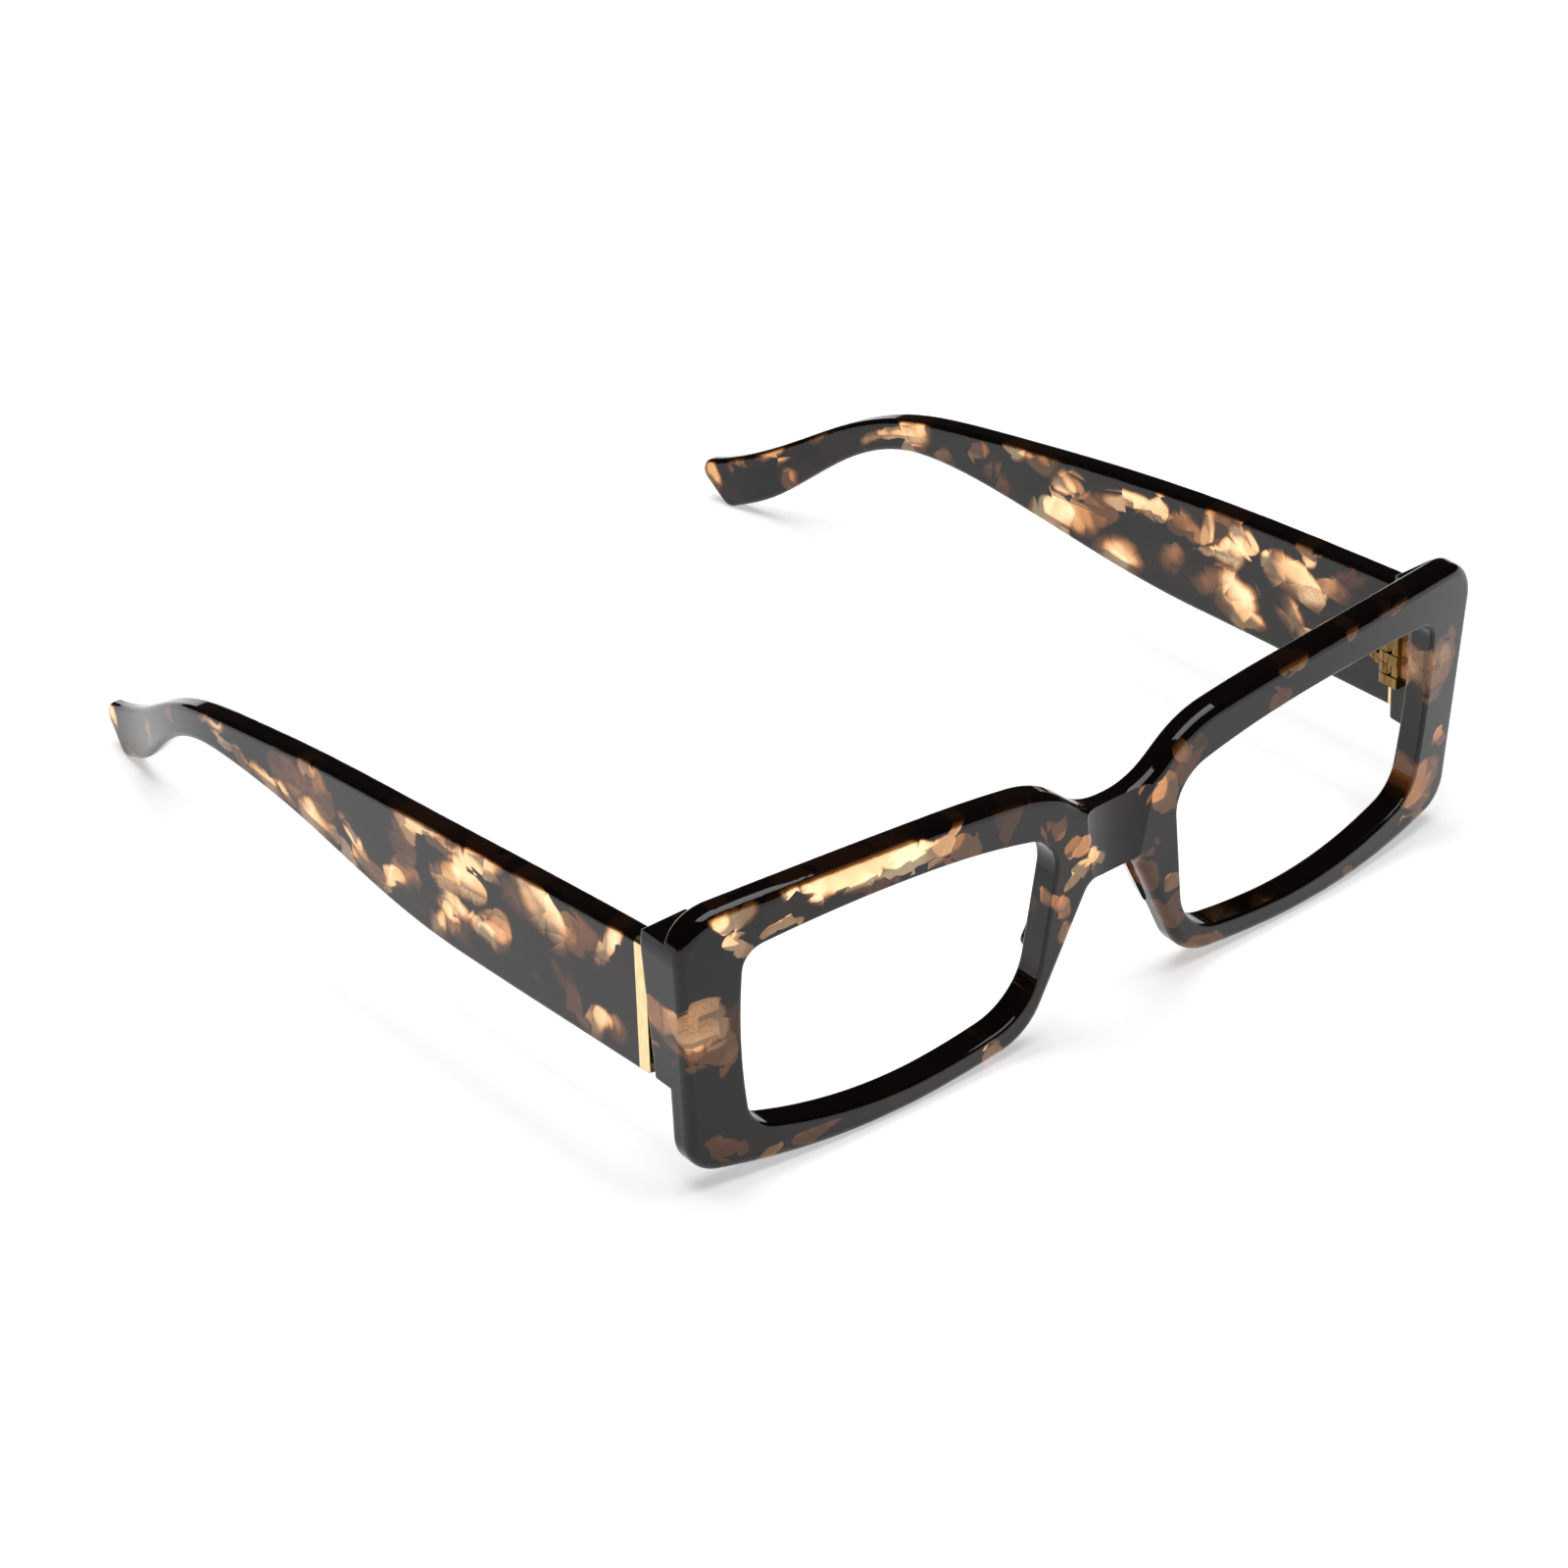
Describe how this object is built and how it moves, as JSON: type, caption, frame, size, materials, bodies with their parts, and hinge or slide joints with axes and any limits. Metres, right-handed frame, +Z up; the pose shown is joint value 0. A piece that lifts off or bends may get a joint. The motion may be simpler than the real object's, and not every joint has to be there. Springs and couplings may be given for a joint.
{
  "type": "eyeglasses frame",
  "caption": "Rectangular full-rim eyeglasses frame in dark tortoise acetate, with folding wide temples, metal end plates and barrel hinges; no lenses fitted.",
  "frame": {"origin": "Centre of the bounding box's bottom face, on the surface that the lower rims and the temple tips stand on, temples open.", "axes": "+Z up; +Y from the front towards the temple tips; +X to the right as seen from the front. The frame is a mirror image of itself about X = 0."},
  "size_m": [0.1412, 0.1539, 0.043],
  "materials": {
    "acetate_front": "polished tortoise cellulose acetate, near black with amber patches",
    "acetate_temple": "polished tortoise cellulose acetate, brown with peach patches",
    "gold": "polished gold plating",
    "steel": "bare nickel silver"
  },
  "bodies": {
    "front": {"front_frame": "acetate_front", "nose_pad_left": "acetate_front", "nose_pad_right": "acetate_front", "hinge_anchor_left": "steel", "hinge_anchor_right": "steel", "hinge_front_left": "gold", "hinge_front_right": "gold", "front_rivets_left": "gold", "front_rivets_right": "gold", "hinge_screw_left": "steel", "hinge_screw_right": "steel"},
    "left_temple": {"hinge_temple_left": "gold", "leaf_rivets_left": "gold", "end_plate_left": "gold", "temple_left": "acetate_temple", "core_wire_left": "steel"},
    "right_temple": {"hinge_temple_right": "gold", "leaf_rivets_right": "gold", "end_plate_right": "gold", "temple_right": "acetate_temple", "core_wire_right": "steel"}
  },
  "joints": [
    {"name": "left_hinge", "type": "hinge", "parent": "front", "child": "left_temple", "pos_m": [-0.0637, -0.06394, 0.0256], "axis": [0, 0, -1], "range_deg": [0, 88]},
    {"name": "right_hinge", "type": "hinge", "parent": "front", "child": "right_temple", "pos_m": [0.0637, -0.06394, 0.0256], "axis": [0, 0, 1], "range_deg": [0, 76]}
  ]
}
